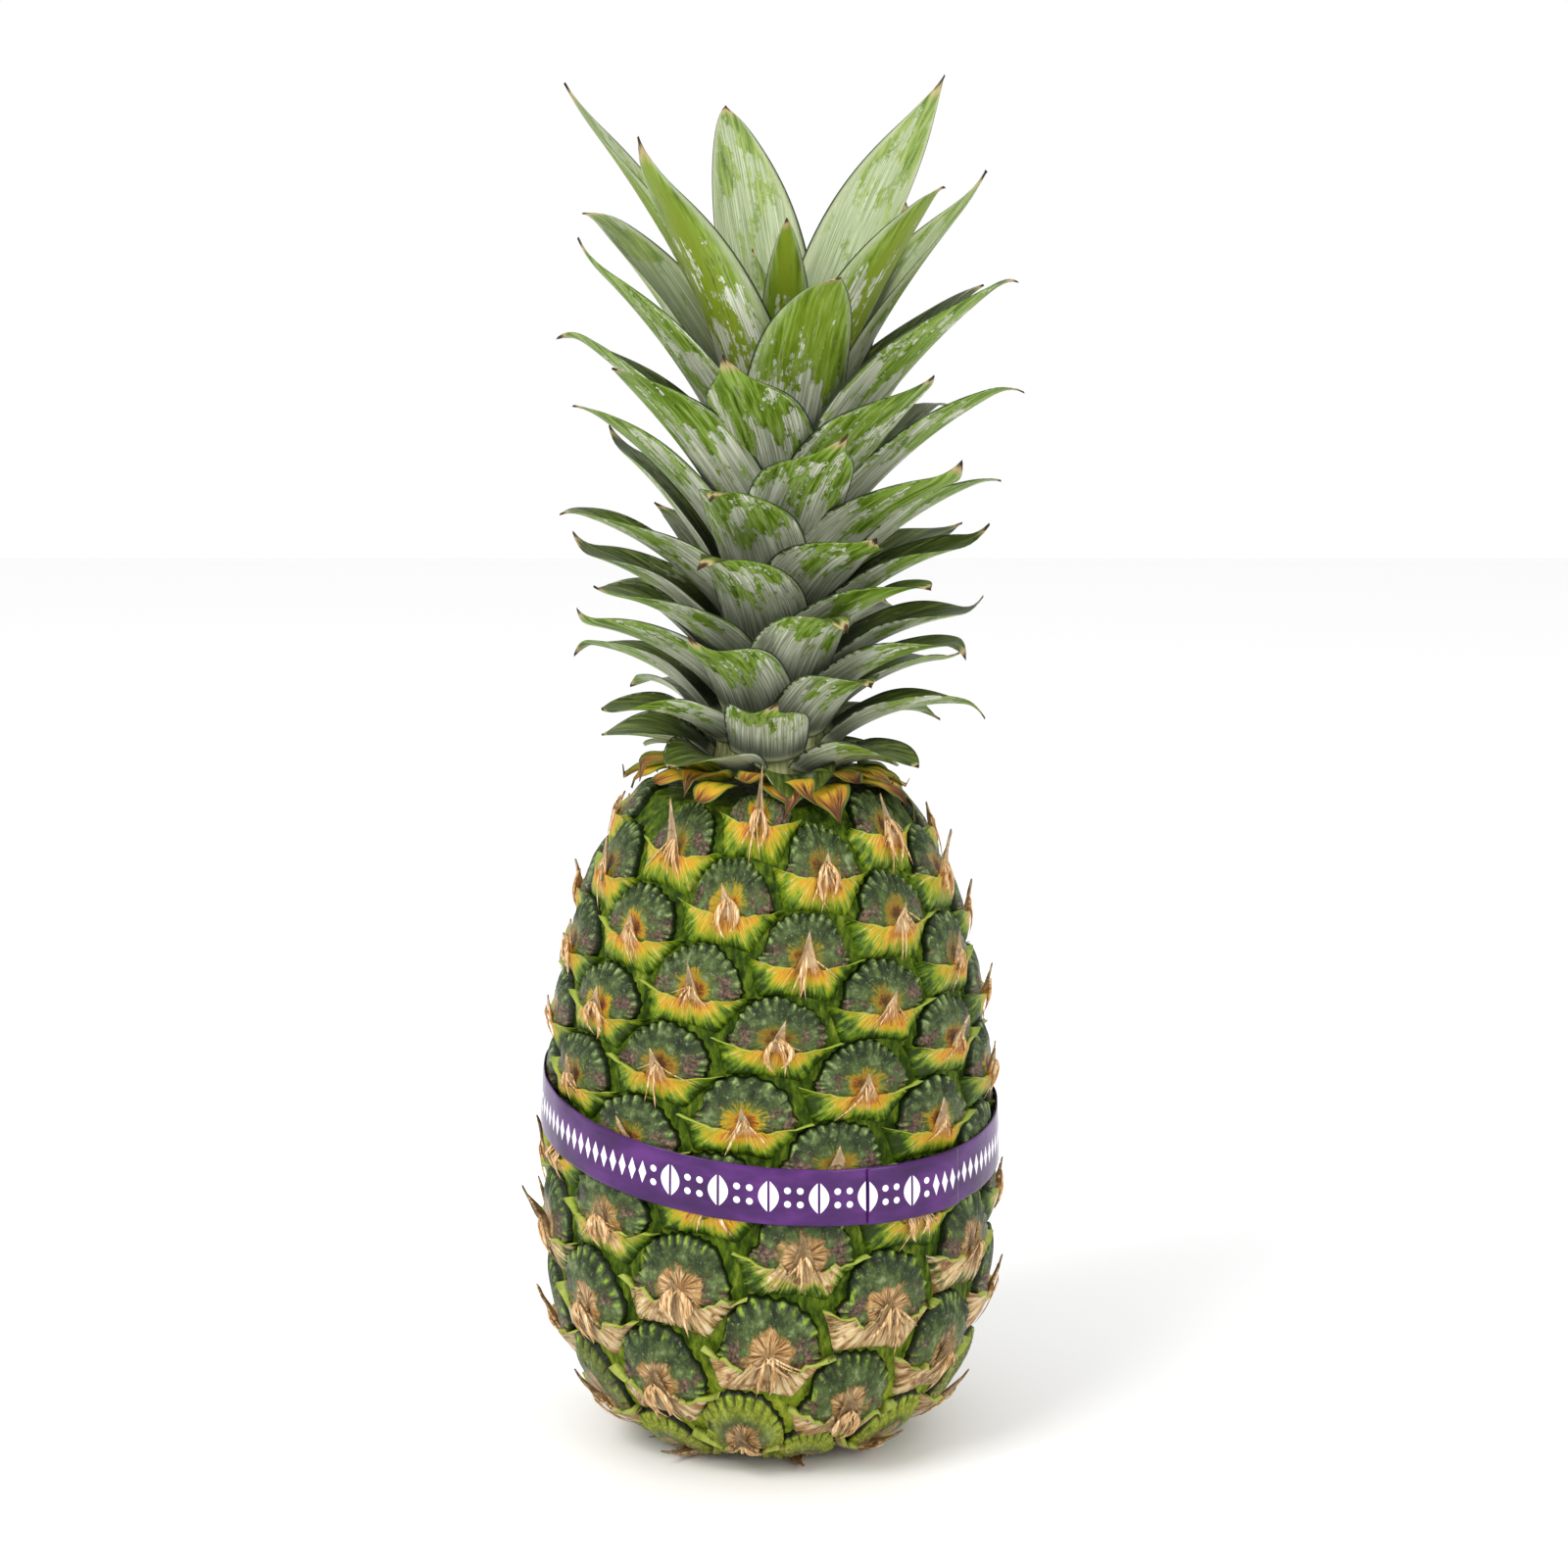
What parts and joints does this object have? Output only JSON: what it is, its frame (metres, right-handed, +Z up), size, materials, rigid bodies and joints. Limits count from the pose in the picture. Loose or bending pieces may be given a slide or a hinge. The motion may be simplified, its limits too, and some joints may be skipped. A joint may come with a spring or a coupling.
{
  "type": "pineapple",
  "caption": "Whole pineapple that stands on its base, with a spiral of eyes, a leafy crown and a plastic tape band round the waist.",
  "frame": {"origin": "middle of the cut stalk, on the surface that the fruit stands on", "axes": "+Z up through the crown, -Y the front, +X to the right of the front"},
  "size_m": [0.1225, 0.1185, 0.3452],
  "materials": {
    "rind": "waxy rind of pleated grey-green eyes, yellow-orange edges and dry tan bracts",
    "cut_stalk": "dry fibrous cut face",
    "band_film": "glossy purple tape with a row of small white printed marks",
    "crown_stem": "pale fibrous stem, hidden by leaves",
    "leaf": "stiff leaf, grey scurf below and rubbed green above, dry tip"
  },
  "bodies": {
    "root": {"fruit": "rind", "stalk_end": "cut_stalk", "tape_band": "band_film", "crown_stem": "crown_stem", "leaf_01": "leaf", "leaf_02": "leaf", "leaf_03": "leaf", "leaf_04": "leaf", "leaf_05": "leaf", "leaf_06": "leaf", "leaf_07": "leaf", "leaf_08": "leaf", "leaf_09": "leaf", "leaf_10": "leaf", "leaf_11": "leaf", "leaf_12": "leaf", "leaf_13": "leaf", "leaf_14": "leaf", "leaf_15": "leaf", "leaf_16": "leaf", "leaf_17": "leaf", "leaf_18": "leaf", "leaf_19": "leaf", "leaf_20": "leaf", "leaf_21": "leaf", "leaf_22": "leaf", "leaf_23": "leaf", "leaf_24": "leaf", "leaf_25": "leaf", "leaf_26": "leaf", "leaf_27": "leaf", "leaf_28": "leaf", "leaf_29": "leaf", "leaf_30": "leaf", "leaf_31": "leaf", "leaf_32": "leaf", "leaf_33": "leaf", "leaf_34": "leaf", "leaf_35": "leaf", "leaf_36": "leaf", "leaf_37": "leaf", "leaf_38": "leaf", "leaf_39": "leaf", "leaf_40": "leaf", "leaf_41": "leaf", "leaf_42": "leaf", "leaf_43": "leaf", "leaf_44": "leaf", "leaf_45": "leaf", "leaf_46": "leaf", "leaf_47": "leaf", "leaf_48": "leaf", "leaf_49": "leaf", "leaf_50": "leaf", "leaf_51": "leaf", "leaf_52": "leaf", "leaf_53": "leaf", "leaf_54": "leaf", "leaf_55": "leaf", "leaf_56": "leaf"}
  },
  "joints": []
}
